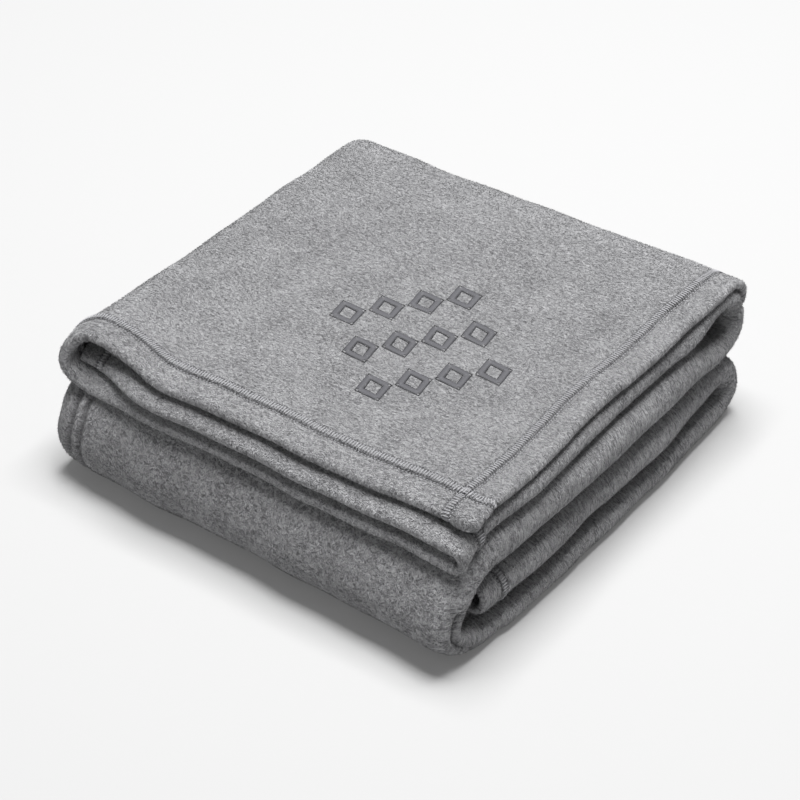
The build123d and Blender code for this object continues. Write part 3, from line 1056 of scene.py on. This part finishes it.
def lozenge(centre, grow, pitch):
    """Even steps round a lozenge's outline: flat places and the way forward."""
    half_wide, half_high = LOZENGE_SIZE[0] / 2 + grow, LOZENGE_SIZE[1] / 2 + grow
    corners = np.array([
        (half_wide, 0), (0, half_high), (-half_wide, 0), (0, -half_high), (half_wide, 0)])
    turn = np.array([[math.cos(MOTIF_TURN), math.sin(MOTIF_TURN)],
                     [-math.sin(MOTIF_TURN), math.cos(MOTIF_TURN)]])
    line = (corners + centre) @ turn + MOTIF_CENTRE
    line3 = np.column_stack([line, np.zeros(len(line))])
    points, forward, _ = walk(line3, line3, pitch)
    return points[:, :2], forward


def embroider(name, grow_list, pitch, length, width, height, sink, material, across_stroke):
    points, forward = [], []
    for row in (-1, 0, 1):
        for column in (-1.5, -0.5, 0.5, 1.5):
            centre = (column * LOZENGE_PITCH[0], row * LOZENGE_PITCH[1])
            for grow in grow_list:
                flat, way = lozenge(centre, grow, pitch)
                points.append(flat)
                forward.append(way)
    points, forward = np.concatenate(points), np.concatenate(forward)
    placed = on_flap(points)
    placed[:, 2] += sink
    if across_stroke:
        forward = np.column_stack([-forward[:, 1], forward[:, 0], forward[:, 2]])
    up = np.tile((0.0, 0.0, 1.0), (len(placed), 1))
    guide = guide_points(name + "_guide", placed * MM, forward, up, 1.0)
    item = settle(guide, stitch_tree, name, {
        "Length": length * MM, "Width": width * MM, "Height": height * MM, "Thread": material})
    bpy.data.objects.remove(guide)
    return item


# Real satin stitch has about two threads to the millimetre; one per 1.1 mm keeps its ribs visible
satin = embroider(
    "motif_satin", (-STROKE / 2,), pitch=1.1, length=STROKE, width=1.15, height=2.2, sink=0.1,
    material=motif_thread, across_stroke=True)
# Painted shade: dark runs just outside and inside each stroke stand for the shadow at its edges.
shade_outline_run = embroider(
    "motif_edge_run_painted_shade", (0.3, -STROKE - 0.9), pitch=2.2, length=2.6, width=1.3, height=0.9, sink=0.1,
    material=shade_outline_thread, across_stroke=False)

# %% [markdown]
# Every piece of cloth now grows its own pile. It is densest on the top leg, which is seen most
# closely, and there is none where cloth lies on cloth.

# %% Grow the pile
TOP_DENSITY, LOWER_DENSITY = 420000.0, 330000.0  # blades to the square metre
BLADE_LENGTH = 3.1
BLADE_WIDTH = 0.78
BLADE_LIFT = 0.52  # 0 would lay the blades flat; 1 lifts them by 45 degrees
piles = {}
for seed, (name, item) in enumerate(cloths.items()):
    piles[name] = settle(item, pile_tree, name + "_pile", {
        "Density": TOP_DENSITY if name == "top_leg" else LOWER_DENSITY,
        "Length": BLADE_LENGTH * MM, "Width": BLADE_WIDTH * MM, "Lift": BLADE_LIFT,
        "Pile": pile_fleece, "Seed": seed + 1})

# %% [markdown]
# ## Which body each piece moves with
# The cloth takes the place of the imported model's plain solids. The top leg and the lower stack ride
# rigidly. The cloth of the two folds that open only has its place baked in and is given no body.

# %% Bodies
legs = {"top": "top_leg", "second": "back_fold", "bottom": "tail", "tail": "tail"}
parts = ("flap", "tucked_layer", "under_layer", "left_fold", "right_fold")
for leg, piece in legs.items():
    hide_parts(*[f"{leg}_{part}" for part in parts])
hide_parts("under_front_hem", "tucked_front_hem", "flap_front_hem",
            "corner_tab", "flap_side_hem")
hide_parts("back_fold_upper", "back_fold_lower")
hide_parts("front_roll_upper", "front_roll_lower")
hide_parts("tail_fold", "tail_end_hem")
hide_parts("side_hem_stitching", "front_hem_stitching",
            "corner_stitching")
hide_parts("motif_embroidery")

for pieces in (cloths, seams, piles):
    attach(pieces["top_leg"], "top_leg")
    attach(pieces["tail"], "lower_stack")
    for name, still, moving, parting in (
            ("back_fold", "second_leg", "top_leg", BACK_PARTING),
            ("front_roll", "lower_stack", "second_leg", FRONT_PARTING)):
        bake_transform(pieces[name])
for item in (satin, shade_outline_run):
    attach(item, "top_leg")

# %% [markdown]
# ## The studio
# The throw lies on a pale floor with a faint even glow, painted light that lifts its shadow, in a dim
# white room. One large softbox hangs above and a little behind it: the light only grazes the front,
# so the roll is darker than the top, and the shadow on the floor stays soft and short.

# %% Floor and lights
floor_mesh = bpy.data.meshes.new("studio_floor")
FLOOR_HALF = 6.0
signs = ((-1, -1), (1, -1), (1, 1), (-1, 1))
floor_corners = [(FLOOR_HALF * a, FLOOR_HALF * b, 0) for a, b in signs]
floor_mesh.from_pydata(floor_corners, [], [(0, 1, 2, 3)])
floor = bpy.data.objects.new("studio_floor", floor_mesh)
bpy.context.scene.collection.objects.link(floor)
table, tree = new_material("pale_floor_with_painted_glow")
diffuse = node(tree, "ShaderNodeBsdfDiffuse", {"Color": (0.475, 0.475, 0.475, 1)})
# Painted light: the floor glows evenly, though it is no lamp, and so lifts the throw's shadow.
painted_floor_glow = node(tree, "ShaderNodeEmission", {"Color": (1, 1, 1, 1), "Strength": 0.09})
lit = node(tree, "ShaderNodeAddShader", {0: diffuse.outputs[0], 1: painted_floor_glow.outputs[0]})
node(tree, "ShaderNodeOutputMaterial", {"Surface": lit.outputs[0]})
floor_mesh.materials.append(table)

world = bpy.data.worlds.new("studio")
bpy.context.scene.world = world
world.use_nodes = True
world.node_tree.nodes["Background"].inputs[0].default_value = (1, 1, 1, 1)
world.node_tree.nodes["Background"].inputs[1].default_value = 0.16


def soft_light(name, place, size, power):
    data = bpy.data.lights.new(name, "AREA")
    data.size = size
    data.energy = power
    lamp = bpy.data.objects.new(name, data)
    lamp.location = place
    lamp.rotation_euler = Vector(place).to_track_quat("Z", "Y").to_euler()
    bpy.context.scene.collection.objects.link(lamp)


soft_light("overhead_softbox", (-0.05, 0.58, 4.1), 2.3, 311)
bpy.context.scene.view_settings.view_transform = "Standard"
print("studio set, with one softbox")
